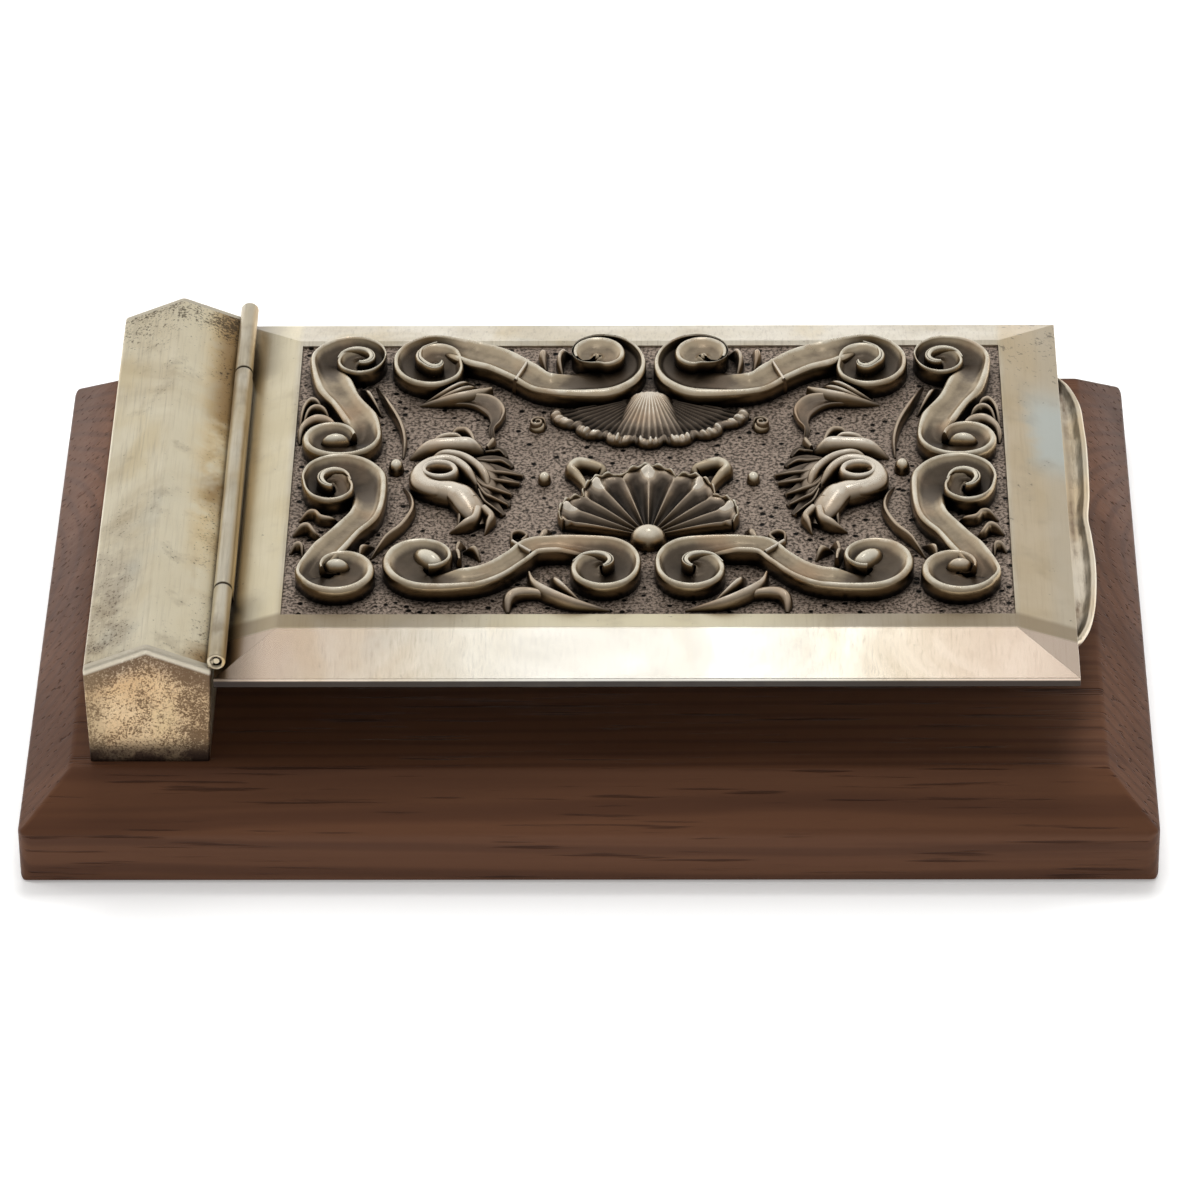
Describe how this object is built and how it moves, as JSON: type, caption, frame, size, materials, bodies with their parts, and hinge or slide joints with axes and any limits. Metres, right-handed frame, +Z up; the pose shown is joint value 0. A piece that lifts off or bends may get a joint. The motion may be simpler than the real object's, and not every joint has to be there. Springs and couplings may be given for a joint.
{
  "type": "ink blotter",
  "caption": "Desk ink blotter: a hinged silver cover with a cast rocaille plaque, carried by a roofed hinge housing on a bevelled wooden board that holds blotting paper.",
  "frame": {"origin": "centre of the board's footprint, on the desk, under the baize", "axes": "+X from the hinge housing to the thumb lip, +Y away from the writer, +Z up"},
  "size_m": [0.178, 0.127, 0.0382],
  "materials": {
    "hardwood": "walnut-brown close-grained hardwood, grain along X, waxed satin",
    "silver": "silver plate on brass, polished, with warm yellow, rose and blue tarnish and dark specks",
    "oxidised_silver": "cast and chased, oxidised dark in the recesses with the high rims rubbed bright",
    "hinge_silver": "drawn tube and rod, silver plated, satin",
    "brass_fixings": "bright sawn bar",
    "steel_fixings": "plain turned steel",
    "baize": "green wool baize, glued"
  },
  "bodies": {
    "base": {"wooden_base": "hardwood", "base_baize": "baize", "hinge_housing": "silver", "housing_end_front": "silver", "housing_end_rear": "silver", "fixing_bar_front": "brass_fixings", "fixing_bar_rear": "brass_fixings", "fixing_screws": "steel_fixings", "screw_washers": "steel_fixings", "knuckle_front": "hinge_silver", "knuckle_rear": "hinge_silver", "hinge_pin": "hinge_silver"},
    "cover": {"cover_frame": "silver", "cover_back_plate": "silver", "relief_plaque": "oxidised_silver", "knuckle_middle": "hinge_silver", "thumb_lip": "silver"}
  },
  "joints": [
    {"name": "cover_hinge", "type": "hinge", "parent": "base", "child": "cover", "pos_m": [-0.0574, -0.00305, 0.03535], "axis": [0, -1, 0], "range_deg": [0, 150]}
  ]
}
